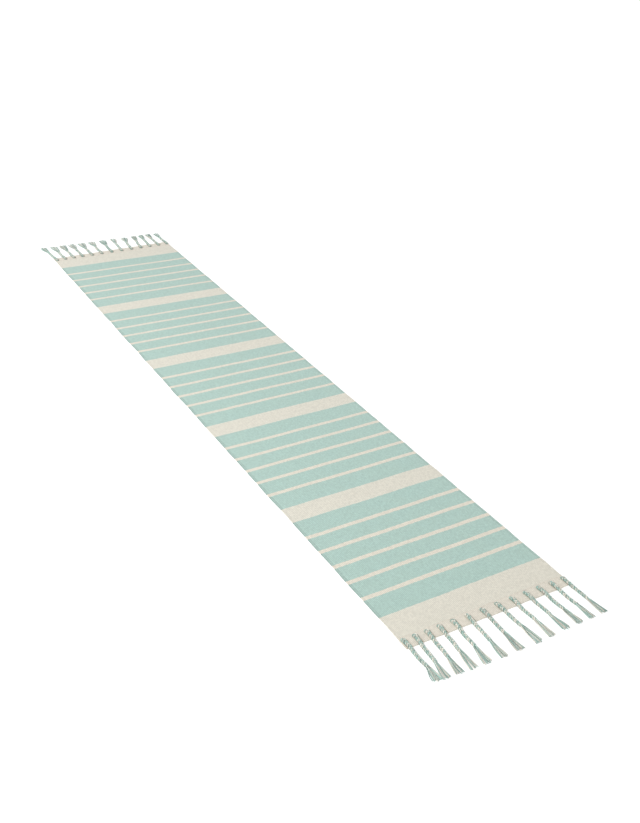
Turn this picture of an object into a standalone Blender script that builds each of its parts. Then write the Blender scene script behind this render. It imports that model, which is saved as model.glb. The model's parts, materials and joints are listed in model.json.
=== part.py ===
"""Flat-woven cotton runner rug with a fringe of braided tassels at both ends.

Units are metres, +Z is up and the rug lies flat on the plane z = 0. The length runs along Y,
the near end is at -Y, and the origin is under the middle of the rug.

The cloth is one woven strip. It is drawn as panels that meet at four crease lines, so that the
rug can be folded up from its far end, each fold lying on the one before. Every tassel is a
bundle of yarn: a loop drawn through the hem, which stays with the cloth, and a braid with a
loose tuft, which flops up over the hem edge.
"""

import math

import bmesh
import bpy
from mathutils import Matrix, Vector

# ---- Driving dimensions -------------------------------------------------------------------

CLOTH_WIDTH = 0.600
CLOTH_LENGTH = 3.078
CLOTH_THICKNESS = 0.0035

PANEL_COUNT = 5
PANEL_GAP = 0.0004           # slit between neighbouring panels in the flat rug
NEST_STEP = 0.015            # how much shorter each folded panel is than the one under it
NEAR_END_MARGIN = 0.060      # bare length kept outside the folded pack for the near loops
TASSEL_NEST_MARGIN = 0.019   # room between the far tassel tips and the next crease
LAYER_CLEARANCE = 0.0020     # air between two layers of the folded pack

TASSELS_PER_END = 13
TASSEL_SIDE_INSET = 0.0095   # side edge of the cloth to the middle of the first tassel
NEAR_KNOT_DRIFT = (-0.017, -0.011)   # knots are set by eye: how far the row leaves an even
FAR_KNOT_DRIFT = (-0.009, -0.008)    # pitch, as one arch and one full swing along the hem
TASSEL_LENGTH = 0.145        # hem edge to the tip of the tuft
BRAID_LENGTH = 0.080         # hem edge to where the tuft begins
BRAID_WIDTH = 0.013
BRAID_THICKNESS = 0.008
BRAID_END_WIDTH = 0.010
BRAID_END_THICKNESS = 0.007
TUFT_TIP_WIDTH = 0.028
TUFT_TIP_THICKNESS = 0.005

LOOP_LENGTH = 0.037          # hem edge to the outer side of the loop's head
LOOP_HEAD_WIDTH = 0.018
LOOP_HEAD_THICKNESS = 0.0062
LOOP_END_WIDTH = 0.012
LOOP_END_THICKNESS = 0.0025
LOOP_END_SETBACK = 0.003     # hem edge to where the loop hands over to the braid
LEG_WIDTH = 0.010            # the yarn where it passes through the cloth
LEG_THICKNESS = 0.004

THREAD_INSET = 0.043         # hem edge to the row of hem stitching
THREAD_RADIUS = 0.0005
THREAD_SIDE_INSET = 0.004

FIT_GAP = 0.0003             # air between pieces that touch on the real rug
HINGE_GAP = 0.0005           # air between the braid's rounded root and the hem edge

RING_SIDES = 12              # corners of a yarn bundle's cross-section

# ---- Derived sizes ------------------------------------------------------------------------

HALF_LENGTH = CLOTH_LENGTH / 2
TASSEL_PITCH = (CLOTH_WIDTH - 2 * TASSEL_SIDE_INSET) / (TASSELS_PER_END - 1)
ROOT_RADIUS = BRAID_THICKNESS / 2
PIVOT_OFFSET = ROOT_RADIUS + HINGE_GAP
LOOP_HEIGHT = FIT_GAP + LOOP_HEAD_THICKNESS
LEG_Y = LOOP_LENGTH - LEG_THICKNESS / 2

TEAL = (0.40, 0.58, 0.53, 1.0)
CREAM = (0.72, 0.68, 0.59, 1.0)
YARN = (0.44, 0.52, 0.46, 1.0)


def panel_lengths():
    """Lengths of the panels from the near end, so that the folded pack nests in itself."""
    tassel_room = TASSEL_LENGTH + TASSEL_NEST_MARGIN
    last = PANEL_COUNT - 1
    shorter = [-NEAR_END_MARGIN]
    shorter += [NEST_STEP * step for step in range(last - 1)]
    shorter += [NEST_STEP * (last - 2) + tassel_room]
    full = (CLOTH_LENGTH + sum(shorter)) / PANEL_COUNT
    return [full - less for less in shorter]


def crease_positions():
    """Y of every crease line, from the near end."""
    creases = []
    y = -HALF_LENGTH
    for length in panel_lengths()[:-1]:
        y += length
        creases.append(y)
    return creases


def crease_heights():
    """Z of every crease axis: each clears the pack of layers that is folded before it."""
    heights = []
    air = LOOP_HEIGHT + LAYER_CLEARANCE
    for _ in range(PANEL_COUNT - 1):
        heights.append(CLOTH_THICKNESS + air / 2)
        air += CLOTH_THICKNESS + LAYER_CLEARANCE
    return heights[::-1]


def tassel_positions(side):
    """X of every tassel along the near (-1) or far (+1) hem."""
    arch, swing = NEAR_KNOT_DRIFT if side < 0 else FAR_KNOT_DRIFT
    first = -CLOTH_WIDTH / 2 + TASSEL_SIDE_INSET
    positions = []
    for index in range(TASSELS_PER_END):
        turn = math.pi * index / (TASSELS_PER_END - 1)
        drift = arch * math.sin(turn) + swing * math.sin(2 * turn)
        positions.append(first + TASSEL_PITCH * index + drift)
    return positions


# ---- Scene helpers ------------------------------------------------------------------------


def clear_scene():
    for old in list(bpy.data.objects):
        bpy.data.objects.remove(old, do_unlink=True)


def new_collection(name):
    collection = bpy.data.collections.new(name)
    bpy.context.scene.collection.children.link(collection)
    return collection


def new_material(name, color, roughness):
    """A matte Principled material; cotton has no metallic part."""
    material = bpy.data.materials.new(name)
    material.use_nodes = True
    shader = material.node_tree.nodes["Principled BSDF"]
    shader.inputs["Base Color"].default_value = color
    shader.inputs["Roughness"].default_value = roughness
    shader.inputs["Metallic"].default_value = 0.0
    material.diffuse_color = color
    return material


def place(obj, collection, parent, location, turn=0.0):
    """Put an object into its collection, at a world location, under its body's empty."""
    for owner in list(obj.users_collection):
        owner.objects.unlink(obj)
    collection.objects.link(obj)
    obj.rotation_euler = (0.0, 0.0, turn)
    obj.parent = parent
    offset = parent_origin(parent)
    obj.location = Vector(location) - offset


def parent_origin(parent):
    """World position of an empty; the empties are never turned, so their offsets add up."""
    origin = Vector((0.0, 0.0, 0.0))
    while parent is not None:
        origin += parent.location
        parent = parent.parent
    return origin


def add_axis(name, collection, parent, location):
    """An empty on a crease axis; what folds there hangs under it."""
    empty = bpy.data.objects.new(name, None)
    empty.empty_display_size = 0.05
    place(empty, collection, parent, location)
    return empty


# ---- Cloth --------------------------------------------------------------------------------


def box(name, size):
    """A box whose origin is the middle of its underside."""
    bpy.ops.mesh.primitive_cube_add(size=1.0, location=(0.0, 0.0, 0.0))
    obj = bpy.context.active_object
    obj.name = name
    for vertex in obj.data.vertices:
        vertex.co.x *= size[0]
        vertex.co.y *= size[1]
        vertex.co.z = (vertex.co.z + 0.5) * size[2]
    return obj


def slot_cutter(name, side, cutters):
    """A row of oval posts, one for each yarn leg that passes through the hem."""
    oval = Matrix.Diagonal((LEG_WIDTH / 2 + FIT_GAP, LEG_THICKNESS / 2 + FIT_GAP, 1.0, 1.0))
    posts = bmesh.new()
    for x in tassel_positions(side):
        bmesh.ops.create_cone(
            posts,
            cap_ends=True,
            segments=RING_SIDES,
            radius1=1.0,
            radius2=1.0,
            depth=4 * CLOTH_THICKNESS,
            matrix=Matrix.Translation((x, 0.0, 0.0)) @ oval,
        )
    data = bpy.data.meshes.new(name)
    posts.to_mesh(data)
    posts.free()
    cutter = bpy.data.objects.new(name, data)
    place(cutter, cutters, None, (0.0, side * (HALF_LENGTH - LEG_Y), CLOTH_THICKNESS / 2))
    cutter.hide_render = True
    cutter.display_type = "WIRE"
    return cutter


def cut_slots(panel, name, side, cutters):
    cut = panel.modifiers.new("yarn_slots", "BOOLEAN")
    cut.operation = "DIFFERENCE"
    cut.solver = "EXACT"
    cut.object = slot_cutter(name, side, cutters)


def build_cloth(material, model, cutters):
    """The woven strip as panels, each under the empty of the crease where it begins."""
    creases = crease_positions()
    heights = crease_heights()
    ends = [-HALF_LENGTH] + creases + [HALF_LENGTH]
    axes = [None]
    for index in range(PANEL_COUNT):
        near = ends[index] + (PANEL_GAP / 2 if index else 0.0)
        far = ends[index + 1] - (PANEL_GAP / 2 if index < PANEL_COUNT - 1 else 0.0)
        if index:
            pivot = (0.0, creases[index - 1], heights[index - 1])
            axes.append(add_axis(f"fold_{index}_axis", model, axes[-1], pivot))
        panel = box(f"cloth_panel_{index + 1}", (CLOTH_WIDTH, far - near, CLOTH_THICKNESS))
        panel.data.materials.append(material)
        place(panel, model, axes[-1], (0.0, (near + far) / 2, 0.0))
        if index == 0:
            cut_slots(panel, "near_slots", -1, cutters)
        if index == PANEL_COUNT - 1:
            cut_slots(panel, "far_slots", 1, cutters)
    return axes


def build_hem_thread(end, side, axis, material, model):
    """The line of stitches that holds the turned hem down, just inside the yarn loops."""
    reach = CLOTH_WIDTH / 2 - THREAD_SIDE_INSET
    curve = bpy.data.curves.new(f"hem_thread_{end}", "CURVE")
    curve.dimensions = "3D"
    curve.bevel_depth = THREAD_RADIUS
    curve.bevel_resolution = 2
    curve.use_fill_caps = True
    spline = curve.splines.new("POLY")
    spline.points.add(1)
    spline.points[0].co = (-reach, 0.0, 0.0, 1.0)
    spline.points[1].co = (reach, 0.0, 0.0, 1.0)
    curve.materials.append(material)
    thread = bpy.data.objects.new(f"hem_thread_{end}", curve)
    height = CLOTH_THICKNESS + FIT_GAP + THREAD_RADIUS
    place(thread, model, axis, (0.0, side * (HALF_LENGTH - THREAD_INSET), height))


# ---- Yarn ---------------------------------------------------------------------------------


def ring(mesh, section):
    """One oval ring of a yarn bundle, square to the bundle's own direction.

    A section is the centre's (y, z), the width, the thickness, and the tilt of the thickness
    direction from +Z towards +Y.
    """
    (y, z), width, thickness, tilt = section
    corners = []
    for step in range(RING_SIDES):
        angle = 2 * math.pi * step / RING_SIDES
        across = width / 2 * math.cos(angle)
        out = thickness / 2 * math.sin(angle)
        corner = (across, y + out * math.sin(tilt), z + out * math.cos(tilt))
        corners.append(mesh.verts.new(corner))
    return corners


def yarn_bundle(name, sections):
    """A closed bundle lofted through oval sections of unlike size."""
    mesh = bmesh.new()
    rings = [ring(mesh, section) for section in sections]
    for lower, upper in zip(rings, rings[1:]):
        for step in range(RING_SIDES):
            after = (step + 1) % RING_SIDES
            mesh.faces.new((lower[step], lower[after], upper[after], upper[step]))
    mesh.faces.new(rings[0][::-1])
    mesh.faces.new(rings[-1])
    bmesh.ops.recalc_face_normals(mesh, faces=mesh.faces)
    data = bpy.data.meshes.new(name)
    mesh.to_mesh(data)
    mesh.free()
    data.shade_smooth()
    data.set_sharp_from_angle(angle=math.radians(50))
    return data


def tassel_mesh():
    """Braid and tuft, pointing to -Y, with the origin on the axis of the rounded root."""
    sections = []
    for angle in (20, 45):
        reach = ROOT_RADIUS * math.cos(math.radians(angle))
        thickness = BRAID_THICKNESS * math.sin(math.radians(angle))
        sections.append(((reach, 0.0), BRAID_WIDTH, thickness, 0.0))
    sections.append(((0.0, 0.0), BRAID_WIDTH, BRAID_THICKNESS, 0.0))
    braid_end = PIVOT_OFFSET - BRAID_LENGTH
    tip = PIVOT_OFFSET - TASSEL_LENGTH
    for y, width, thickness in (
        (braid_end, BRAID_END_WIDTH, BRAID_END_THICKNESS),
        ((braid_end + tip) / 2, (BRAID_END_WIDTH + TUFT_TIP_WIDTH) / 2, BRAID_END_THICKNESS),
        (tip, TUFT_TIP_WIDTH, TUFT_TIP_THICKNESS),
    ):
        rests_at = thickness / 2 - ROOT_RADIUS
        sections.append(((y, rests_at), width, thickness, 0.0))
    return yarn_bundle("tassel", sections)


def loop_mesh():
    """The yarn through the hem and over it, with the origin on the hem edge at the floor.

    The leg comes up through its slot, turns over in the head, and runs out to -Y.
    """
    top = CLOTH_THICKNESS + FIT_GAP
    head = LOOP_HEAD_THICKNESS
    shoulder = (LEG_THICKNESS + head) / 2
    middle = (LEG_Y + LOOP_END_SETBACK) / 2
    level = 0.0
    upright = math.radians(90)
    sections = [
        ((LEG_Y, FIT_GAP), LEG_WIDTH, LEG_THICKNESS, upright),
        ((LEG_Y, CLOTH_THICKNESS), LEG_WIDTH, LEG_THICKNESS, upright),
        (
            (LEG_Y - head / 4, top + head / 2 - 0.0004),
            (LEG_WIDTH + LOOP_HEAD_WIDTH) / 2,
            shoulder,
            upright / 2,
        ),
        ((LEG_Y - head * 0.8, top + head / 2), LOOP_HEAD_WIDTH, head, level),
        ((middle, top + head * 0.45), (LOOP_HEAD_WIDTH + BRAID_WIDTH) / 2, head * 0.9, level),
        ((3 * LOOP_END_SETBACK, top + head * 0.33), BRAID_WIDTH, head * 0.66, level),
        (
            (LOOP_END_SETBACK, top + LOOP_END_THICKNESS / 2),
            LOOP_END_WIDTH,
            LOOP_END_THICKNESS,
            level,
        ),
    ]
    return yarn_bundle("yarn_loop", sections)


def build_fringe(end, side, axis, material, model):
    """The loops and tassels of one end; the far end is the near end turned half round."""
    turn = 0.0 if side < 0 else math.pi
    loop = loop_mesh()
    tassel = tassel_mesh()
    for data in (loop, tassel):
        data.materials.append(material)
    pivot_y = side * (HALF_LENGTH + PIVOT_OFFSET)
    for index, x in enumerate(tassel_positions(side), start=1):
        loop_object = bpy.data.objects.new(f"yarn_loop_{end}_{index:02d}", loop)
        place(loop_object, model, axis, (x, side * HALF_LENGTH, 0.0), turn)
        tassel_object = bpy.data.objects.new(f"tassel_{end}_{index:02d}", tassel)
        place(tassel_object, model, axis, (x, pivot_y, ROOT_RADIUS), turn)


# ---- Assembly -----------------------------------------------------------------------------


def build():
    clear_scene()
    model = new_collection("runner_rug")
    cutters = new_collection("cutters")
    cloth = new_material("woven_cotton", TEAL, 0.95)
    thread = new_material("hem_thread", CREAM, 0.9)
    yarn = new_material("tassel_yarn", YARN, 0.95)
    axes = build_cloth(cloth, model, cutters)
    for end, side, axis in (("near", -1, axes[0]), ("far", 1, axes[-1])):
        build_hem_thread(end, side, axis, thread, model)
        build_fringe(end, side, axis, yarn, model)


build()
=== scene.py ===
import json
import math
import random

import bpy
import numpy as np
from mathutils import Matrix, Vector


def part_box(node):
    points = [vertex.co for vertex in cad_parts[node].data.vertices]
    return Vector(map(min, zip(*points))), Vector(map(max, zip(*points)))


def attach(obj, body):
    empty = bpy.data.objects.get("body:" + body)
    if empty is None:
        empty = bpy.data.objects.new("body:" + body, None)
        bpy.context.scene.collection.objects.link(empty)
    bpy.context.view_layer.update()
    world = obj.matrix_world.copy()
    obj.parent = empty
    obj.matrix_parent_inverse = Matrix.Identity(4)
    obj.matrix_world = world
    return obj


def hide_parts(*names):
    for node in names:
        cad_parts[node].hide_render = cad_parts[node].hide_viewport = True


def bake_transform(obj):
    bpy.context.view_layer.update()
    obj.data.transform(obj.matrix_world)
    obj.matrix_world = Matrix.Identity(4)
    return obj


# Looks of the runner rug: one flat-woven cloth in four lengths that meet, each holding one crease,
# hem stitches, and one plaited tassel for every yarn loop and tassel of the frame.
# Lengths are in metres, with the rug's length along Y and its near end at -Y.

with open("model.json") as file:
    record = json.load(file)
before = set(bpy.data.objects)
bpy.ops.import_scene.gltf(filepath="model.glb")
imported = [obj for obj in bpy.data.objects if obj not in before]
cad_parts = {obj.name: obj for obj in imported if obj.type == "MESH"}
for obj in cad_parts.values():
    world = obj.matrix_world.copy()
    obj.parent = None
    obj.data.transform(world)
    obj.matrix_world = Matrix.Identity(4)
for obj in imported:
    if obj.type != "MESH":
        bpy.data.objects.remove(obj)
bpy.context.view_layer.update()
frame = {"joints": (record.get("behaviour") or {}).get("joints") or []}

# ---- Places read from the frame ----------------------------------------------------------------

JOINTS = {joint["name"]: joint for joint in frame["joints"]}
FAR_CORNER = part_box("cloth_panel_5")[1]
HALF_WIDTH = FAR_CORNER.x
HALF_LENGTH = FAR_CORNER.y
LENGTH = 2 * HALF_LENGTH
THICKNESS = FAR_CORNER.z
FOLDS = [JOINTS[f"fold_{index}"] for index in (1, 2, 3, 4)]
TASSELS_PER_END = 13
ENDS = (("near", -1, "near_panel"), ("far", 1, "far_panel"))   # name, side of Y, body
# The panels of the frame that each length of the cloth stands for.
CLOTH_STANDS_FOR = (("cloth_panel_1",), ("cloth_panel_2",), ("cloth_panel_3",),
                    ("cloth_panel_4", "cloth_panel_5"))

# ---- Stripes, by their widths along the cloth --------------------------------------------------

END_BAND = 0.136
WIDE_BAND = 0.079
THIN_LINE = 0.0155
OUTER_STRIPE = 0.0802
INNER_STRIPE = 0.0650
SECTION = 2 * OUTER_STRIPE + 5 * THIN_LINE + 4 * INNER_STRIPE
REPEAT = SECTION + WIDE_BAND

# ---- Weave -------------------------------------------------------------------------------------

RIB_PITCH = 0.005            # one warp cord to the next
RIB_RELIEF = 0.00028         # half the height of a cord above the valley beside it
COLUMNS_PER_RIB = 4
PICK_PITCH = 0.0026          # two passes of the weft
ROW_STEP = 0.020
FOLD_ROW_STEP = 0.0022
FOLD_REACH = 1.1             # half the bending length over the bend's radius
EDGE_RADIUS = THICKNESS / 2
HEM_DEPTH = 0.047            # how far in the turned layer under each end reaches
HEM_STEP = 0.0004            # how far that layer lifts the cloth
HEM_STEP_WIDTH = 0.002
HEM_TONE_INSET = 0.004       # the hem's own tone stops this far short of the step
SELVEDGE_CORD = 0.005        # width of the thick cord along each side
SELVEDGE_GROOVE = 0.0075     # side edge to the groove inside that cord
GROOVE_HALF_WIDTH = 0.0025
RIB_FADE = 0.003             # the ribs begin over this width inside the groove
CORD_RISE = 0.00025
GROOVE_DROP = 0.0005
SWELL = 0.00018              # gentle unevenness of the flat cloth
SIDE_WANDER = 0.0009         # how far the side edges leave a straight line
HEM_WANDER = 0.0007
KNOT_PULL = 0.0008           # how far each knot draws the hem edge in
KNOT_PULL_HALF_WIDTH = 0.007
EDGE_FADE = 0.012            # the hem edge's wander dies out over this length
# Weft skew and stripe lead, as places along the cloth and the value at each: how far the weft
# leads at the right selvedge, and how far past its even place each stripe was beaten up.
WEFT_SKEW = ((0.0, 0.3, 1.0, 1.4, 1.9, 2.4, 3.1),
             (-0.001, -0.006, -0.007, 0.002, 0.013, 0.020, 0.021))
STRIPE_LEAD = ((0.0, 0.3, 0.9, 1.5, 2.0, 2.4, 3.1),
               (0.0, 0.003, 0.004, 0.0015, 0.0045, 0.001, 0.0))

# ---- Unevenness of the weave's tone ------------------------------------------------------------

WEFT_DRIFT = 0.005           # how far a stripe's edge wanders slowly
WEFT_TOOTH = 0.0034          # and how far it steps from cord to cord
STREAK_SCALES = (20.0, 260.0)    # noise cells in a metre, across and along the cloth
GRAIN_SCALES = (120.0, 190.0)
MOTTLE_SCALE = 60.0
CLOUD_SCALE = 14.0
FLECK_SCALE = 900.0
STREAK_TINT = 0.9            # shares of the second teal, the bluer teal and the pinker cream
CLOUD_TINT = 0.8
MOTTLE_TINT = 0.5
WEAVE_LIGHT = 1.058          # lifts the weave's colour to offset the painted shade in the valleys
MOTTLE_SHADE = 0.09
GRAIN_SHADE = 0.13
TEAL_GRAIN_SHADE = 0.17      # added to the grain where the weft is teal
STITCH_SHADE = 0.12
STREAK_SHADE = 0.08
FLECK_SHADE = 0.12
VALLEY_SHADE = 0.30
BEAD_HEIGHT = 0.5            # shares of the weave's bump
FLECK_HEIGHT = 0.6
WEAVE_BUMP = 0.00035
PLY_BUMP = 0.0004
# Painted shade along each side, at the edge and in the groove inside the selvedge cord: distance in
# from the edge, half the line's width, and depth.
SIDE_SHADES = ((0.0, 0.0026, 0.34), (SELVEDGE_GROOVE, 0.0016, 0.18))
CREAM_SIDE_SHADE = 0.25      # share of those lines that shows on cream

# ---- Colours (linear light) --------------------------------------------------------------------

TEAL = (0.435, 0.589, 0.524)
TEAL_DARK = (0.375, 0.528, 0.464)
TEAL_BLUE = (0.395, 0.566, 0.521)
CREAM = (0.692, 0.671, 0.580)
CREAM_PINK = (0.724, 0.673, 0.572)
HEM_CREAM = (0.712, 0.668, 0.578)
YARN_TEAL = (0.437, 0.632, 0.568)
YARN_CREAM = (0.885, 0.868, 0.770)
CLOTH_SHADE = (0.58, 0.53, 0.45)   # painted shadow on the cloth beside a yarn head
YARN_SHADE = (0.13, 0.09, 0.05)    # painted shade of yarn deep inside a plait
YARN_LEAST_LIGHT = 0.50            # lightness of the darkest yarn, and what the lightest adds
YARN_LIGHT_SPAN = 0.68
YARN_LIGHT_POWER = 0.35            # below 1, most yarns are near the lightest
YARN_CELL_SHADE = 0.25
YARN_PLY_SHADE = 0.07
WHITE = (1.0, 1.0, 1.0)
FLOOR = (0.93, 0.93, 0.93)
FLOOR_GLOW = 0.24

# ---- Tassels -----------------------------------------------------------------------------------

KNOT_INSET = 0.0365          # hem edge to the far side of the yarn's head
BRAID_END = 0.077            # hem edge to where the tuft begins
STRANDS = 3
YARNS_PER_STRAND = 6
TEAL_YARNS_PER_STRAND = 3
STRAY_TEAL_SHARE = 0.22      # share of the other yarns that are teal too
YARN_RADIUS = 0.00108
YARN_RING = 0.00170          # centre of a strand to the centre of its yarns
YARN_SIDES = 6
PLY_TURN = 0.0045            # one turn of the two plies of a yarn
RING_SPACING = 0.0016        # one ring of points to the next along a braid
HEAD_ROUND = 0.0055          # length over which the head curves down into the cloth
HEAD_BULGE = 0.34
HEAD_BULGE_PLACE = 0.007
HEAD_BULGE_LENGTH = 0.009
BRAID_TAPER = 0.14
ON_CLOTH_FLATNESS = 0.86     # a bundle is pressed this flat where it lies on the cloth
LEAN_POWER = 1.2             # above 1, a tassel leans more and more towards its tip
BRAID_SWING = 0.0042         # how far a strand's centre swings sideways
BRAID_LIFT = 0.0014
BRAID_REPEAT = 0.026
STRAND_TWIST = 0.019         # one turn of a strand's yarns round each other
BUNDLE_RADIUS = 0.0028       # from the middle of a bundle up to its outer yarns
HEAD_HALF_WIDTH = 0.0078
HEAD_SHADE_OFFSET = 0.0024   # the painted shadow beside a head lies to its right
ON_CLOTH_HEIGHT = THICKNESS + 0.0032
ON_FLOOR_HEIGHT = 0.0039
DESCENT_START = 0.004        # the braid begins to come down this far inside the hem edge
DESCENT_LENGTH = 0.020
LEAST_OPEN = 0.50            # painted light inside a braid, and what a loose tuft adds to it
TUFT_OPEN = 0.16
SIDE_OPEN = 0.52             # painted light on a yarn's side, and what its top or underside adds
TOP_OPEN = 0.56
TUFT_POINTS = 15
TUFT_CROWN = 0.0062          # highest place that a tuft's yarn comes to rest at
TUFT_ROUNDING = 12.0         # how much sooner the outer yarns of a fan end, per metre squared
# How the tassels lie along each hem, at shares of the way across the rug: how far a tuft's tip
# leans to +X, how far out it reaches, and half the width of its fan.
LEAN = {
    "near": ((0.0, 0.08, 0.35, 0.5, 0.58, 0.67, 1.0),
             (-0.001, -0.013, -0.014, -0.003, 0.010, 0.004, 0.009)),
    "far": ((0.0, 0.17, 0.33, 0.75, 0.92, 1.0), (-0.010, 0.000, 0.002, 0.025, 0.004, 0.003)),
}
REACH = {
    "near": ((0.0, 0.35, 0.6, 1.0), (0.137, 0.147, 0.147, 0.138)),
    "far": ((0.0, 1.0), (0.158, 0.134)),
}
FAN = {
    "near": ((0.0, 0.5, 1.0), (0.0146, 0.0133, 0.0110)),
    "far": ((0.0, 0.35, 0.6, 1.0), (0.0160, 0.0200, 0.0160, 0.0144)),
}
# How suddenly the tufts of each end spread: 0 would be a straight cone.
FLARE = {"near": 0.45, "far": 0.75}

# ---- Hem stitches ------------------------------------------------------------------------------

STITCH_LENGTH = 0.0042
STITCH_GAP = 0.0030
STITCH_POINTS = 7
THREAD_RADIUS = 0.00042

# ---- Camera and light --------------------------------------------------------------------------

CAMERA_ANGLES = (-32.06, 30.13, 3.31)    # azimuth from -Y, elevation and roll, in degrees
CAMERA_PLACE = (-1.6235, -3.1422, 1.9261)
CAMERA_LENS = 44.26
CAMERA_SHIFT = (-0.0006, 0.0006)
WORLD_LIGHT = 0.60
WORLD_SEEN = 1.05            # the backdrop's own brightness, past the edge of the floor
KEY_LIGHT = 1.35
KEY_ANGLE = 12
KEY_TOWARD = (-0.95, -0.10, 1.1)
STRIP_LIGHT = 27.0
STRIP_SIZE = (0.6, 4.6)
STRIP_PLACE = (-1.8, 0.15, 1.25)
STRIP_TILT = -55
FLOOR_HALF_SIZE = 40.0
FLOOR_DROP = 0.0004          # keeps the floor clear of the cloth's underside


def smooth(value):
    """Smooth step of a number or array, held between 0 and 1."""
    value = np.clip(value, 0.0, 1.0)
    return value * value * (3.0 - 2.0 * value)


def waves(seed, count, shortest, longest):
    """Seeded (wave number, phase) pairs for gentle unevenness."""
    draw = random.Random(seed)
    return [
        (2 * math.pi / draw.uniform(shortest, longest), draw.uniform(0, 2 * math.pi))
        for _ in range(count)
    ]


def ripple(position, parts):
    """Sum of the waves at a position, about -1 to 1."""
    return sum(np.sin(position * k + phase) for k, phase in parts) / math.sqrt(len(parts))


def link(obj):
    bpy.context.scene.collection.objects.link(obj)
    return obj


# ---- Materials ---------------------------------------------------------------------------------


class Graph:
    """Short-hand for one material's node tree."""

    def __init__(self, name):
        self.material = bpy.data.materials.new(name)
        self.material.use_nodes = True
        self.tree = self.material.node_tree
        self.shader = self.tree.nodes["Principled BSDF"]

    def node(self, kind, **settings):
        made = self.tree.nodes.new(kind)
        for key, value in settings.items():
            setattr(made, key, value)
        return made

    def feed(self, socket, value):
        """Connect an output, or set a constant."""
        if isinstance(value, bpy.types.NodeSocket):
            self.tree.links.new(value, socket)
        elif isinstance(value, tuple) and len(value) == 3 and socket.type == "RGBA":
            socket.default_value = (*value, 1.0)
        else:
            socket.default_value = value

    def math(self, operation, *values, clamp=False):
        made = self.node("ShaderNodeMath", operation=operation, use_clamp=clamp)
        for socket, value in zip(made.inputs, values):
            self.feed(socket, value)
        return made.outputs[0]

    def mix(self, share, first, second, blend="MIX"):
        made = self.node("ShaderNodeMix", data_type="RGBA", blend_type=blend)
        self.feed(made.inputs[0], share)
        self.feed(made.inputs[6], first)
        self.feed(made.inputs[7], second)
        return made.outputs[2]

    def vector(self, x, y, z=0.0):
        made = self.node("ShaderNodeCombineXYZ")
        for socket, value in zip(made.inputs, (x, y, z)):
            self.feed(socket, value)
        return made.outputs[0]

    def noise(self, vector, scale, detail=2.0, roughness=0.5):
        made = self.node("ShaderNodeTexNoise")
        self.feed(made.inputs["Vector"], vector)
        made.inputs["Scale"].default_value = scale
        made.inputs["Detail"].default_value = detail
        made.inputs["Roughness"].default_value = roughness
        return made.outputs[0]

    def centred(self, value, amount):
        """A 0-to-1 value turned into -amount/2 to +amount/2."""
        return self.math("MULTIPLY", self.math("SUBTRACT", value, 0.5), amount)

    def attribute(self, name, output="Fac"):
        """A value kept on the mesh's points."""
        return self.node("ShaderNodeAttribute", attribute_name=name).outputs[output]

    def stretched_noise(self, x, y, scales, detail, roughness, z=0.0):
        """Noise whose cells are longer one way than the other."""
        first = self.math("MULTIPLY", x, scales[0])
        second = self.math("MULTIPLY", y, scales[1])
        return self.noise(self.vector(first, second, z), 1.0, detail, roughness)

    def shaded(self, color, shade):
        """A colour multiplied by a number."""
        return self.mix(1.0, color, self.vector(shade, shade, shade), "MULTIPLY")

    def split(self, vector):
        made = self.node("ShaderNodeSeparateXYZ")
        self.feed(made.inputs[0], vector)
        return made.outputs

    def bump(self, height, distance, strength=1.0):
        made = self.node("ShaderNodeBump")
        made.inputs["Distance"].default_value = distance
        made.inputs["Strength"].default_value = strength
        self.feed(made.inputs["Height"], height)
        self.feed(self.shader.inputs["Normal"], made.outputs[0])

    def finish(self, color, roughness, sheen):
        self.feed(self.shader.inputs["Base Color"], color)
        self.shader.inputs["Roughness"].default_value = roughness
        self.shader.inputs["Metallic"].default_value = 0.0
        self.shader.inputs["Specular IOR Level"].default_value = 0.15
        self.shader.inputs["Sheen Weight"].default_value = sheen
        self.shader.inputs["Sheen Roughness"].default_value = 0.6
        return self.material


def stripe_masks(graph, along):
    """(teal, thin line) masks from the distance along the cloth."""
    inside = graph.math("GREATER_THAN", along, END_BAND)
    inside = graph.math("MULTIPLY", inside, graph.math("LESS_THAN", along, LENGTH - END_BAND))
    place = graph.math("FLOORED_MODULO", graph.math("SUBTRACT", along, END_BAND), REPEAT)
    section = graph.math("MULTIPLY", inside, graph.math("LESS_THAN", place, SECTION))
    step = graph.math("SUBTRACT", place, OUTER_STRIPE)
    between = graph.math("MULTIPLY",
                         graph.math("GREATER_THAN", step, 0.0),
                         graph.math("LESS_THAN", step, SECTION - 2 * OUTER_STRIPE))
    phase = graph.math("FLOORED_MODULO", step, THIN_LINE + INNER_STRIPE)
    line = graph.math("MULTIPLY", between, graph.math("LESS_THAN", phase, THIN_LINE))
    line = graph.math("MULTIPLY", line, section)
    teal = graph.math("SUBTRACT", section, line)
    return teal, line


def weave_noises(graph, across, along, cord_number):
    """The unevenness that the weave's tones and shades share."""
    place = graph.vector(across, along)
    pass_number = graph.math("FLOOR", graph.math("DIVIDE", along, 2 * PICK_PITCH))
    stitch = graph.node("ShaderNodeTexWhiteNoise", noise_dimensions="2D")
    graph.feed(stitch.inputs["Vector"], graph.vector(cord_number, pass_number))
    return {
        "streak": graph.stretched_noise(across, along, STREAK_SCALES, 3.0, 0.6),
        "grain": graph.stretched_noise(across, along, GRAIN_SCALES, 2.0, 0.7),
        "mottle": graph.noise(place, MOTTLE_SCALE, 3.0, 0.6),
        "cloud": graph.noise(graph.vector(across, along, 3.0), CLOUD_SCALE, 2.0, 0.5),
        "fleck": graph.noise(place, FLECK_SCALE, 2.0, 0.6),
        "stitch": stitch.outputs["Value"],
    }


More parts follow.
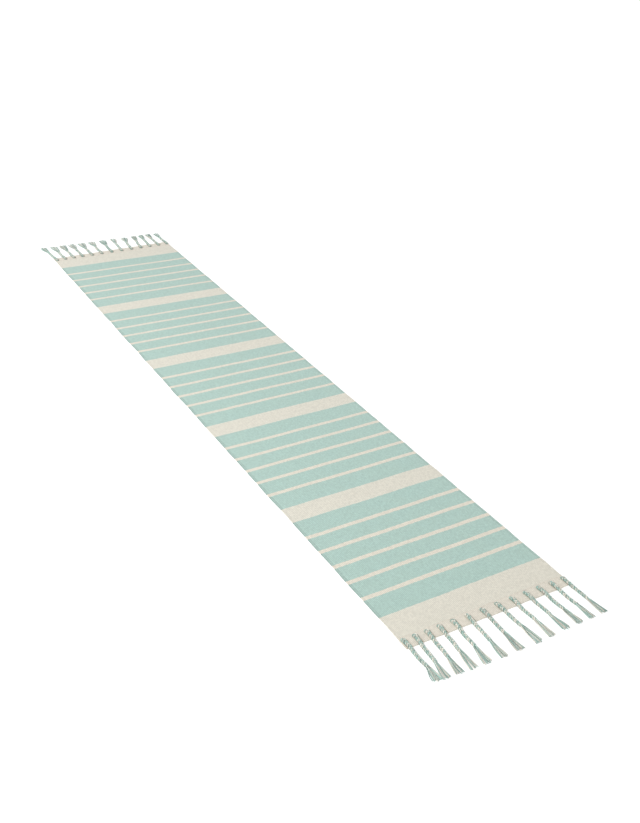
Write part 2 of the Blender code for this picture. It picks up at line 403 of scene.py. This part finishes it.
def weave_tone(graph, along, teal, line, noises):
    """Heathered teal and cream, with the hems and thin lines a little pinker."""
    teal_tone = graph.mix(graph.math("MULTIPLY", noises["streak"], STREAK_TINT), TEAL, TEAL_DARK)
    teal_tone = graph.mix(graph.math("MULTIPLY", noises["cloud"], CLOUD_TINT), teal_tone, TEAL_BLUE)
    end_inset = graph.math("MINIMUM", along, graph.math("SUBTRACT", LENGTH, along))
    hem = graph.math("LESS_THAN", end_inset, HEM_DEPTH - HEM_TONE_INSET)
    cream_tone = graph.mix(hem, graph.mix(line, CREAM, CREAM_PINK), HEM_CREAM)
    pink = graph.math("MULTIPLY", noises["mottle"], MOTTLE_TINT)
    cream_tone = graph.mix(pink, cream_tone, CREAM_PINK)
    return graph.mix(teal, cream_tone, teal_tone)


def weave_shade(graph, across, teal, cord, noises):
    """How light the weave is: uneven, with painted shade in its valleys and along each selvedge."""
    shade = graph.math("ADD", WEAVE_LIGHT, graph.centred(noises["mottle"], MOTTLE_SHADE))
    grain_depth = graph.math("ADD", GRAIN_SHADE, graph.math("MULTIPLY", teal, TEAL_GRAIN_SHADE))
    grain = graph.math("MULTIPLY", graph.centred(noises["grain"], 1.0), grain_depth)
    shade = graph.math("ADD", shade, grain)
    amounts = {"stitch": STITCH_SHADE, "streak": STREAK_SHADE, "fleck": FLECK_SHADE}
    for name, amount in amounts.items():
        shade = graph.math("ADD", shade, graph.centred(noises[name], amount))
    # Painted shade in the valleys between the cords.
    valley = graph.math("SUBTRACT", 1.0, graph.math("ABSOLUTE", cord))
    shade = graph.math("SUBTRACT", shade, graph.math("MULTIPLY", valley, VALLEY_SHADE))
    # Painted shade lines along each side, shown mostly on teal.
    side_inset = graph.math("MINIMUM", across, graph.math("SUBTRACT", 2 * HALF_WIDTH, across))
    showing = graph.math("MULTIPLY", teal, 1 - CREAM_SIDE_SHADE)
    showing = graph.math("ADD", showing, CREAM_SIDE_SHADE)
    for middle, half, depth in SIDE_SHADES:
        off = graph.math("ABSOLUTE", graph.math("SUBTRACT", side_inset, middle))
        dark = graph.math("MULTIPLY", graph.math("LESS_THAN", off, half), showing)
        shade = graph.math("SUBTRACT", shade, graph.math("MULTIPLY", dark, depth))
    return shade


def weave_height(graph, along, cord, fleck):
    """Every weft pick is a soft bead on each cord, set half a step off on the next cord."""
    step = graph.math("MULTIPLY", graph.math("SIGN", cord), math.pi / 2)
    pick = graph.math("ADD", graph.math("MULTIPLY", along, 2 * math.pi / PICK_PITCH), step)
    bead = graph.math("MULTIPLY", graph.math("SINE", pick), graph.math("ABSOLUTE", cord))
    return graph.math("ADD",
                      graph.math("MULTIPLY", bead, BEAD_HEIGHT),
                      graph.math("MULTIPLY", fleck, FLECK_HEIGHT))


def cloth_material():
    """Weft-faced cotton: stripes along the cloth, cord ribs and weft picks, heathered yarn."""
    graph = Graph("woven_cotton_weave")
    uv = graph.node("ShaderNodeUVMap", uv_map="cloth_metres").outputs[0]
    across, along, _ = graph.split(uv)
    cord = graph.math("SINE", graph.math("MULTIPLY", across, math.pi / RIB_PITCH))
    cord_number = graph.math("FLOOR", graph.math("DIVIDE", across, RIB_PITCH))
    # The weft wanders a little, and turns over each cord in small uneven steps.
    drift = graph.centred(graph.noise(graph.vector(across, along), 5.0, 1.0), WEFT_DRIFT)
    apart = graph.math("MULTIPLY", cord_number, 7.3)
    tooth = graph.centred(graph.noise(graph.vector(apart, along), 1.0, 0.0), WEFT_TOOTH)
    woven = graph.math("ADD", graph.math("ADD", along, drift), tooth)
    teal, line = stripe_masks(graph, woven)
    noises = weave_noises(graph, across, along, cord_number)
    tone = weave_tone(graph, along, teal, line, noises)
    tone = graph.shaded(tone, weave_shade(graph, across, teal, cord, noises))
    # Painted shadow beside each yarn head darkens the weave's colour.
    painted_shadow = graph.mix(graph.attribute("cloth_painted_shadow"), WHITE, CLOTH_SHADE)
    tone = graph.mix(1.0, tone, painted_shadow, "MULTIPLY")
    graph.bump(weave_height(graph, along, cord, noises["fleck"]), WEAVE_BUMP, 0.8)
    return graph.finish(tone, 0.92, 0.25)


def yarn_material():
    """Two-ply cotton yarn: its tone picks teal or cream, and its shade from dark to light."""
    graph = Graph("tassel_cotton_yarn")
    tone = graph.attribute("yarn_tone")
    cosine, sine, along = graph.split(graph.attribute("yarn_ply", "Vector"))
    turn = graph.math("MULTIPLY", along, 2 * math.pi / PLY_TURN)
    twist = graph.math("ADD",
                       graph.math("MULTIPLY", sine, graph.math("COSINE", turn)),
                       graph.math("MULTIPLY", cosine, graph.math("SINE", turn)))
    cell = graph.stretched_noise(along, tone, (90.0, 37.0), 3.0, 0.6, cosine)
    base = graph.mix(graph.math("GREATER_THAN", tone, 0.5), YARN_CREAM, YARN_TEAL)
    # Each yarn's lightness, drawn at random: most are light, and the few much darker ones are
    # painted shade for yarns lying low in the plait and tuft.
    own = graph.math("FRACT", graph.math("MULTIPLY", tone, 13.7))
    added = graph.math("MULTIPLY", graph.math("POWER", own, YARN_LIGHT_POWER), YARN_LIGHT_SPAN)
    shade = graph.math("ADD", YARN_LEAST_LIGHT, added)
    shade = graph.math("ADD", shade, graph.centred(cell, YARN_CELL_SHADE))
    # Painted shade along the grooves between the two plies, following their bump.
    shade = graph.math("ADD", shade, graph.math("MULTIPLY", twist, YARN_PLY_SHADE))
    # Painted shade: the yarn's colour is darker on its sides and inside the plait, where its
    # neighbours shade it.
    painted_light_share = graph.mix(graph.attribute("yarn_painted_light"), YARN_SHADE, WHITE)
    color = graph.mix(1.0, graph.shaded(base, shade), painted_light_share, "MULTIPLY")
    graph.bump(twist, PLY_BUMP, 0.7)
    return graph.finish(color, 0.95, 0.3)


def thread_material():
    """Natural cotton sewing thread."""
    graph = Graph("hem_cotton_thread")
    return graph.finish(CREAM_PINK, 0.9, 0.2)


def floor_material():
    """Pale paper with a faint glow, so that soft shadows on it stay light."""
    graph = Graph("floor_paper")
    graph.feed(graph.shader.inputs["Base Color"], FLOOR)
    graph.shader.inputs["Roughness"].default_value = 0.9
    graph.shader.inputs["Specular IOR Level"].default_value = 0.0
    graph.shader.inputs["Emission Color"].default_value = (1.0, 1.0, 1.0, 1.0)
    graph.shader.inputs["Emission Strength"].default_value = FLOOR_GLOW
    return graph.material


# ---- Cloth -------------------------------------------------------------------------------------


def column_positions():
    """X of every column of the weave, with the rounded selvedges closely spaced."""
    ribs = round(2 * HALF_WIDTH / RIB_PITCH)
    even = np.linspace(-HALF_WIDTH, HALF_WIDTH, ribs * COLUMNS_PER_RIB + 1)
    inner = even[np.abs(even) < HALF_WIDTH - EDGE_RADIUS]
    rounds = EDGE_RADIUS * (1 - np.cos(np.radians((0, 30, 55, 75))))
    return np.concatenate((-HALF_WIDTH + rounds, inner, (HALF_WIDTH - rounds)[::-1]))


def row_positions(near, far):
    """Y of every row between two places, close together at hems and folds."""
    rows = set(np.round(np.linspace(near, far, round((far - near) / ROW_STEP) + 1), 5))
    for joint in FOLDS:
        centre = joint["pos_m"][1]
        reach = fold_reach(joint)
        count = 2 * math.ceil(reach / FOLD_ROW_STEP) + 1
        zone = np.linspace(centre - reach, centre + reach, count)
        rows = {row for row in rows if abs(row - centre) > reach + 0.003}
        rows |= set(np.round(zone, 5))
    # Distances in from each hem: its rounded edge, the yarn heads, and the hem's step.
    steps = [EDGE_RADIUS * (1 - math.cos(math.radians(angle))) for angle in (0, 25, 50, 70, 90)]
    steps += [0.004, 0.008, 0.013, 0.030, 0.033, 0.036, 0.039]
    steps += [HEM_DEPTH + offset for offset in (-0.002, -0.0008, 0.0008, 0.002)]
    for side in (-1, 1):
        hem = side * HALF_LENGTH
        rows = {row for row in rows if min(abs(abs(row - hem) - step) for step in steps) > 0.0015}
        rows |= {round(hem - side * step, 5) for step in steps}
    return np.array(sorted(row for row in rows if near - 1e-6 <= row <= far + 1e-6))


def fold_reach(joint):
    """Half the length of cloth that bends at a crease."""
    return FOLD_REACH * (joint["pos_m"][2] - THICKNESS / 2)


def rounding(distance):
    """Share of the full thickness at a distance inside a rounded edge."""
    short = np.clip(1 - distance / EDGE_RADIUS, 0.0, 1.0)
    return np.sqrt(np.clip(1 - short * short, 0.02, 1.0))


EDGE_WAVES = {-1: waves(11, 5, 0.09, 0.45), 1: waves(12, 5, 0.09, 0.45)}
HEM_WAVES = {-1: waves(21, 4, 0.05, 0.22), 1: waves(22, 4, 0.05, 0.22)}
SWELL_ACROSS = waves(31, 3, 0.12, 0.4)
SWELL_ALONG = waves(32, 4, 0.12, 0.6)


def cloth_layers(x, y):
    """Top and underside heights on the grid of columns x and rows y."""
    column, row = np.meshgrid(x, y)
    side_inset = HALF_WIDTH - np.abs(column)
    end_inset = HALF_LENGTH - np.abs(row)
    rib = np.cos(2 * math.pi * (column + HALF_WIDTH) / RIB_PITCH) * RIB_RELIEF
    rib = rib * smooth((side_inset - SELVEDGE_GROOVE) / RIB_FADE)
    half_cord = SELVEDGE_CORD / 2
    cord = CORD_RISE * smooth(1 - np.abs(side_inset - half_cord) / half_cord)
    groove_share = smooth(1 - np.abs(side_inset - SELVEDGE_GROOVE) / GROOVE_HALF_WIDTH)
    groove = -GROOVE_DROP * groove_share
    swell = SWELL * ripple(column, SWELL_ACROSS) * ripple(row, SWELL_ALONG)
    hem = HEM_STEP * (1 - smooth((end_inset - HEM_DEPTH) / HEM_STEP_WIDTH + 0.5))
    top = THICKNESS - HEM_STEP + rib + cord + groove + swell + hem
    under = HEM_STEP - rib - cord - groove - hem
    under = np.maximum(under, 0.0)
    share = rounding(side_inset) * rounding(end_inset)
    middle = THICKNESS / 2
    return middle + (top - middle) * share, middle + (under - middle) * share


def cloth_outline(x, y):
    """Where the grid's points lie: selvedges and hems are not quite straight."""
    column, row = np.meshgrid(x, y)
    shifted = column.copy()
    for side in (-1, 1):
        reach = np.clip(side * column / HALF_WIDTH, 0, 1) ** 8
        shifted += SIDE_WANDER * reach * ripple(row, EDGE_WAVES[side])
    moved = row.copy()
    for end, side, _ in ENDS:
        near = np.exp(-np.abs(side * HALF_LENGTH - row) / EDGE_FADE)
        moved += HEM_WANDER * near * ripple(column, HEM_WAVES[side])
        for index in range(1, TASSELS_PER_END + 1):
            off = (column - knot_position(end, index)) / KNOT_PULL_HALF_WIDTH
            moved -= side * KNOT_PULL * near * np.exp(-(off ** 2))
    return shifted, moved


def painted_shadow_share(x, y):
    """Share of painted shadow at each point of the top, beside the yarn heads."""
    column, row = np.meshgrid(x, y)
    share = np.zeros_like(column)
    for end, side, _ in ENDS:
        inset = HALF_LENGTH - side * row
        under_head = smooth((KNOT_INSET - inset) / 0.006)
        for index in range(1, TASSELS_PER_END + 1):
            middle = knot_position(end, index) + HEAD_SHADE_OFFSET
            off = (column - middle) / HEAD_HALF_WIDTH
            share = np.maximum(share, under_head * np.exp(-(off ** 6)))
    return share


def weave_places(x, y):
    """Places in the weave, across and along, of every ring point of a length of cloth."""
    across = np.concatenate((x, x[::-1])) + HALF_WIDTH
    along = y + HALF_LENGTH
    along = along - np.interp(along, *STRIPE_LEAD)
    skew = np.interp(along, *WEFT_SKEW)[:, None] * (across / (2 * HALF_WIDTH))[None, :]
    return np.stack(np.broadcast_arrays(across[None, :], along[:, None] + skew), -1)


def cloth_piece(name, near, far, x, material):
    """One length of the cloth as a tube of rings, closed at both ends."""
    y = row_positions(near, far)
    top, under = cloth_layers(x, y)
    shifted, moved = cloth_outline(x, y)
    columns = len(x)
    ring = 2 * columns
    points = np.zeros((len(y), ring, 3))
    points[:, :columns] = np.stack((shifted, moved, top), -1)
    points[:, columns:] = np.stack((shifted, moved, under), -1)[:, ::-1]
    faces = tube_faces(len(y), ring)
    index = np.arange(columns - 1)
    closing = np.stack((index, ring - 1 - index, ring - 2 - index, index + 1), 1)
    faces.extend(closing[:, ::-1].tolist())
    faces.extend((closing + (len(y) - 1) * ring).tolist())
    obj = mesh_object(name, points.reshape(-1, 3), faces, material)
    obj.data.set_sharp_from_angle(angle=math.radians(60))
    add_uv(obj, weave_places(x, y).reshape(-1, 2))
    # Painted shadow beside the yarn heads, on the top only.
    painted_shadow = np.zeros((len(y), ring))
    painted_shadow[:, :columns] = painted_shadow_share(x, y)
    add_attribute(obj, "cloth_painted_shadow", "FLOAT", "value", painted_shadow)
    return obj


def tube_faces(rings, sides):
    """Quads between neighbouring rings of points."""
    first = np.arange(sides)
    after = (first + 1) % sides
    ring = np.stack((first, after, after + sides, first + sides), 1)
    steps = np.arange(rings - 1)[:, None, None] * sides
    return (ring[None] + steps).reshape(-1, 4)[:, ::-1].tolist()


def mesh_object(name, points, faces, material):
    data = bpy.data.meshes.new(name)
    data.from_pydata(points.tolist(), [], faces)
    data.update()
    data.shade_smooth()
    data.materials.append(material)
    return link(bpy.data.objects.new(name, data))


def add_uv(obj, metres):
    """A UV map in metres, one value for every point of the mesh."""
    layer = obj.data.uv_layers.new(name="cloth_metres")
    corners = np.zeros(len(obj.data.loops), np.int32)
    obj.data.loops.foreach_get("vertex_index", corners)
    layer.data.foreach_set("uv", metres[corners].astype(np.float32).ravel())


def build_cloth(material):
    """Four lengths of the one cloth, cut where panels 2 to 4 are flat; each has one fold."""
    creases = [joint["pos_m"][1] for joint in FOLDS]
    cuts = [(a + b) / 2 for a, b in zip(creases, creases[1:])]
    ends = [-HALF_LENGTH, *cuts, HALF_LENGTH]
    x = column_positions()
    lengths = []
    for index, joint in enumerate(FOLDS):
        near, far = ends[index], ends[index + 1]
        piece = cloth_piece(f"woven_cloth_{index + 1}", near, far, x, material)
        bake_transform(piece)
        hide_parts(*CLOTH_STANDS_FOR[index])
        lengths.append((piece, far - near))
    return lengths


# ---- Stitching ---------------------------------------------------------------------------------


def build_stitches(end, side, body, material):
    """A running stitch along the hem: short threads that rise out of the cloth and dip back."""
    low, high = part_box(f"hem_thread_{end}")
    y = (low.y + high.y) / 2
    count = int((high.x - low.x) / (STITCH_LENGTH + STITCH_GAP))
    pitch = (high.x - low.x) / count
    share = np.linspace(0, 1, STITCH_POINTS)
    points, faces = [], []
    draw = random.Random(41 if side < 0 else 42)
    for index in range(count):
        start = low.x + pitch * index + STITCH_GAP / 2
        slant = draw.uniform(-0.0004, 0.0004)
        path = np.zeros((STITCH_POINTS, 3))
        path[:, 0] = start + share * STITCH_LENGTH
        path[:, 1] = y + draw.uniform(-0.0003, 0.0003) + slant * share
        path[:, 2] = THICKNESS - 0.0006 + 0.0012 * np.sin(math.pi * share) ** 0.6
        add_tube(path, THREAD_RADIUS, 6, points, faces, (0.0, 1.0, 0.0))
    obj = mesh_object(f"hem_stitches_{end}", np.concatenate(points), faces, material)
    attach(obj, body)
    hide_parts(f"hem_thread_{end}")
    return obj


def path_frames(path, reference):
    """Unit directions along a path and across it, with across close to the reference."""
    tangent = np.gradient(path, axis=0)
    tangent /= np.linalg.norm(tangent, axis=1)[:, None]
    across = np.array(reference) - tangent * (tangent @ np.array(reference))[:, None]
    across /= np.linalg.norm(across, axis=1)[:, None]
    return tangent, across


def add_tube(path, radius, sides, points, faces, reference):
    """Add a round tube along a path, with both ends closed."""
    tangent, across = path_frames(path, reference)
    up = np.cross(tangent, across)
    angle = (2 * math.pi * np.arange(sides) / sides)[None, :, None]
    ring = across[:, None] * np.cos(angle) + up[:, None] * np.sin(angle)
    start = sum(len(block) for block in points)
    points.append((path[:, None] + ring * radius).reshape(-1, 3))
    faces.extend([[i + start for i in face][::-1] for face in tube_faces(len(path), sides)])
    faces.append([start + i for i in range(sides)][::-1])
    faces.append([start + (len(path) - 1) * sides + i for i in range(sides)])


# ---- Tassels -----------------------------------------------------------------------------------


def knot_position(end, index):
    low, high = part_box(f"yarn_loop_{end}_{index:02d}")
    return (low.x + high.x) / 2


def descent(out):
    """Share of the way down from the cloth to the floor, at a distance outside the hem edge."""
    return smooth((out + DESCENT_START) / DESCENT_LENGTH)


def bundle_height(out):
    """Height of the middle of a yarn bundle that lies on the cloth, then on the floor."""
    return ON_CLOTH_HEIGHT + (ON_FLOOR_HEIGHT - ON_CLOTH_HEIGHT) * descent(out)


def braid_height(out):
    """The bundle's height, with its head curving down into the cloth."""
    hole = 0.0016
    dive = np.clip((out + KNOT_INSET) / HEAD_ROUND, 0.0, 1.0)
    return hole + (bundle_height(out) - hole) * np.sqrt(1 - (1 - dive) ** 2)


def braid_places(braid_end):
    """Distances outside the hem edge of every ring of a braid, from its head to its end."""
    head = -KNOT_INSET + HEAD_ROUND * (1 - np.cos(np.radians(np.linspace(0, 80, 6))))
    return np.concatenate((head, np.arange(head[-1] + RING_SPACING, braid_end, RING_SPACING)))


def braid_width(out, braid_end):
    """How wide a braid is along its length, round a bulging head and with a slight taper."""
    travelled = out + KNOT_INSET
    bulge = 1 + HEAD_BULGE * np.exp(-(((travelled - HEAD_BULGE_PLACE) / HEAD_BULGE_LENGTH) ** 2))
    opening = 0.5 + 0.5 * smooth(travelled / 0.006)
    return bulge * opening * (1 - BRAID_TAPER * smooth(out / braid_end))


def tassel_yarns(lean, tip, fan, flare, draw):
    """Paths of a tassel's yarns as (x, out, z), x from the knot and out from the hem edge."""
    braid_end = BRAID_END + draw.uniform(-0.004, 0.004)
    phase = draw.uniform(0, 2 * math.pi)
    sway = draw.uniform(0.0004, 0.0012)
    sway_phase = draw.uniform(0, 2 * math.pi)
    sway_length = draw.uniform(0.07, 0.12)
    out = braid_places(braid_end)
    travelled = out + KNOT_INSET
    bow = np.sin(2 * math.pi * out / sway_length + sway_phase) * smooth(travelled / 0.03)
    middle = lean * (travelled / (tip + KNOT_INSET)) ** LEAN_POWER + sway * bow
    height = braid_height(out)
    flat = ON_CLOTH_FLATNESS + (1 - ON_CLOTH_FLATNESS) * descent(out)
    width = braid_width(out, braid_end)
    yarns = []
    for strand in range(STRANDS):
        turn = 2 * math.pi * travelled / BRAID_REPEAT + phase + 2 * math.pi * strand / STRANDS
        centre = np.stack((middle + BRAID_SWING * width * np.sin(turn), out,
                           height + BRAID_LIFT * flat * np.sin(2 * turn)), 1)
        yarns.extend(strand_yarns(centre, travelled, width, flat, strand))
    ranks = fan_ranks(yarns, draw)
    return [tuft_path(path, lean, tip, fan * rank, flare, draw)
            for path, rank in zip(yarns, ranks)]


def strand_yarns(centre, travelled, width, flat, strand):
    """Paths of the yarns that twist round the centre line of one strand."""
    tangent, across = path_frames(centre, (1.0, 0.0, 0.0))
    up = np.cross(across, tangent)
    yarns = []
    for member in range(YARNS_PER_STRAND):
        turns = member / YARNS_PER_STRAND + travelled / STRAND_TWIST
        angle = 2 * math.pi * turns + strand
        ring = (across * np.cos(angle)[:, None] * width[:, None] ** 0.5
                + up * (np.sin(angle) * flat * 0.9)[:, None])
        yarns.append(centre + YARN_RING * ring)
    return yarns


def fan_ranks(yarns, draw):
    """Places from -1 to 1 across the tuft's fan, nearly in the order the yarns leave the braid."""
    leaving = [path[-1][0] + draw.uniform(-0.002, 0.002) for path in yarns]
    order = sorted(range(len(yarns)), key=leaving.__getitem__)
    ranks = [0.0] * len(yarns)
    for place, member in enumerate(order):
        ranks[member] = 2 * (place + 0.5) / len(yarns) - 1
    return ranks


def tuft_path(path, lean, tip, spread, flare, draw):
    """A braid yarn continued into the loose tuft, down to its cut end."""
    start = path[-1]
    own_tip = tip + draw.uniform(-0.005, 0.003) - TUFT_ROUNDING * spread * spread
    share = np.linspace(0, 1, TUFT_POINTS)[1:]
    out = start[1] + share * (own_tip - start[1])
    target = lean + spread + draw.uniform(-0.0016, 0.0016)
    easing = 1 - (1 - share) ** (1.0 + 1.4 * flare)
    x = start[0] + (target - start[0]) * (flare * easing + (1 - flare) * share)
    x = x + draw.uniform(-0.0009, 0.0009) * np.sin(math.pi * share * draw.uniform(1.0, 2.2))
    crown = max(TUFT_CROWN - 0.2 * abs(spread), 0.0028)
    rest = draw.uniform(YARN_RADIUS + 0.0002, crown)
    z = start[2] + (rest - start[2]) * smooth(share * 1.4)
    z = np.maximum(z, YARN_RADIUS + 0.0001)
    return np.concatenate((path, np.stack((x, out, z), 1)))


def painted_yarn_light(world, ring):
    """Share of painted light at each point of a yarn: less on its sides and inside the bundle."""
    lift = np.abs(ring[:, :, 2] - world[:, None, 2]) / YARN_RADIUS
    out = np.abs(world[:, 1]) - HALF_LENGTH
    bare = np.clip(np.abs(world[:, 2] - bundle_height(out)) / BUNDLE_RADIUS, 0, 1)[:, None]
    least = LEAST_OPEN + TUFT_OPEN * smooth((out - BRAID_END) / 0.02)[:, None]
    return np.clip((SIDE_OPEN + TOP_OPEN * lift) * (least + (1 - least) * bare), 0, 1)


def build_tassel(end, side, index, material):
    """One head, braid and tuft, bending at the hem edge between the cloth and the tassel."""
    draw = random.Random((100 if side < 0 else 200) + index)
    share = (index - 1) / (TASSELS_PER_END - 1)
    lean = float(np.interp(share, *LEAN[end])) + draw.uniform(-0.002, 0.002)
    tip = float(np.interp(share, *REACH[end])) + draw.uniform(-0.002, 0.002)
    fan = float(np.interp(share, *FAN[end])) + draw.uniform(-0.0015, 0.0015)
    knot = knot_position(end, index)
    angle = 2 * math.pi * np.arange(YARN_SIDES) / YARN_SIDES
    points, faces, ply, tones, painted_lights = [], [], [], [], []
    for member, path in enumerate(tassel_yarns(lean, tip, fan, FLARE[end], draw)):
        world = np.stack((knot + path[:, 0], side * (HALF_LENGTH + path[:, 1]), path[:, 2]), 1)
        add_tube(world, YARN_RADIUS, YARN_SIDES, points, faces, (1.0, 0.0, 0.0))
        teal = member % YARNS_PER_STRAND < TEAL_YARNS_PER_STRAND
        teal = teal or draw.random() < STRAY_TEAL_SHARE
        tone = draw.uniform(0.55, 1.0) if teal else draw.uniform(0.0, 0.45)
        tones.append(np.full(len(path) * YARN_SIDES, tone))
        painted_lights.append(painted_yarn_light(world, points[-1].reshape(len(path), YARN_SIDES, 3)).ravel())
        block = np.zeros((len(path), YARN_SIDES, 3))
        block[:, :, 0] = np.cos(2 * angle)
        block[:, :, 1] = np.sin(2 * angle)
        block[:, :, 2] = path[:, 1][:, None] + KNOT_INSET
        ply.append(block.reshape(-1, 3))
    obj = mesh_object(f"plaited_tassel_{end}_{index:02d}", np.concatenate(points), faces, material)
    add_attribute(obj, "yarn_tone", "FLOAT", "value", np.concatenate(tones))
    add_attribute(obj, "yarn_painted_light", "FLOAT", "value", np.concatenate(painted_lights))
    add_attribute(obj, "yarn_ply", "FLOAT_VECTOR", "vector", np.concatenate(ply))
    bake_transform(obj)
    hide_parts(f"yarn_loop_{end}_{index:02d}", f"tassel_{end}_{index:02d}")
    return obj


def add_attribute(obj, name, kind, field, values):
    """A value for every point of the mesh, which the material reads."""
    layer = obj.data.attributes.new(name, kind, "POINT")
    layer.data.foreach_set(field, np.asarray(values, np.float32).ravel())


# ---- Camera, light and floor -------------------------------------------------------------------


def build_camera():
    """A long view along the rug from its near left, rolled a little."""
    azimuth, elevation, roll = (math.radians(angle) for angle in CAMERA_ANGLES)
    back = Vector((math.sin(azimuth) * math.cos(elevation),
                   -math.cos(azimuth) * math.cos(elevation), math.sin(elevation)))
    right = (-back).cross(Vector((0, 0, 1))).normalized()
    up = right.cross(-back)
    axis_x = right * math.cos(roll) + up * math.sin(roll)
    axis_y = up * math.cos(roll) - right * math.sin(roll)
    lens = bpy.data.cameras.new("camera")
    lens.lens = CAMERA_LENS
    lens.sensor_width = 36.0
    lens.shift_x, lens.shift_y = CAMERA_SHIFT
    camera = link(bpy.data.objects.new("camera", lens))
    camera.rotation_mode = "QUATERNION"
    camera.rotation_quaternion = Matrix((axis_x, axis_y, back)).transposed().to_quaternion()
    camera.location = CAMERA_PLACE
    lens.clip_end = 100.0
    bpy.context.scene.camera = camera


def build_light():
    """Soft light from all round, a gentle key from the left, and a long strip beside the rug."""
    world = bpy.data.worlds.new("studio")
    world.use_nodes = True
    bpy.context.scene.world = world
    background = world.node_tree.nodes["Background"]
    background.inputs["Color"].default_value = (1.0, 1.0, 1.0, 1.0)
    seen = world.node_tree.nodes.new("ShaderNodeLightPath").outputs["Is Camera Ray"]
    strength = world.node_tree.nodes.new("ShaderNodeMapRange")
    strength.inputs["To Min"].default_value = WORLD_LIGHT
    strength.inputs["To Max"].default_value = WORLD_SEEN
    world.node_tree.links.new(seen, strength.inputs["Value"])
    world.node_tree.links.new(strength.outputs[0], background.inputs["Strength"])
    sun = bpy.data.lights.new("key", "SUN")
    sun.energy = KEY_LIGHT
    sun.angle = math.radians(KEY_ANGLE)
    aim_light(link(bpy.data.objects.new("key", sun)), Vector(KEY_TOWARD))
    strip = bpy.data.lights.new("strip", "AREA")
    strip.shape = "RECTANGLE"
    strip.size, strip.size_y = STRIP_SIZE
    strip.energy = STRIP_LIGHT
    panel = link(bpy.data.objects.new("strip", strip))
    panel.location = STRIP_PLACE
    panel.rotation_euler = (0.0, math.radians(STRIP_TILT), 0.0)
    panel.visible_camera = False


def aim_light(light, toward):
    light.rotation_mode = "QUATERNION"
    light.rotation_quaternion = toward.normalized().to_track_quat("Z", "Y")


def build_floor():
    """The pale floor that the rug lies on, which isn't part of the object."""
    size = FLOOR_HALF_SIZE
    corners = [(-size, -size, 0), (size, -size, 0), (size, size, 0), (-size, size, 0)]
    data = bpy.data.meshes.new("floor")
    data.from_pydata(corners, [], [(0, 1, 2, 3)])
    data.materials.append(floor_material())
    floor = link(bpy.data.objects.new("floor", data))
    floor.location.z = -FLOOR_DROP
    return floor


# ---- Assembly ----------------------------------------------------------------------------------


def build():
    floor = build_floor()
    build_light()
    build_camera()
    bpy.context.scene.view_settings.view_transform = "Standard"
    cloth = build_cloth(cloth_material())
    yarn = yarn_material()
    thread = thread_material()
    trims = {end: [] for end, _, _ in ENDS}
    for end, side, body in ENDS:
        trims[end].append(build_stitches(end, side, body, thread))
        for index in range(1, TASSELS_PER_END + 1):
            trims[end].append(build_tassel(end, side, index, yarn))


build()
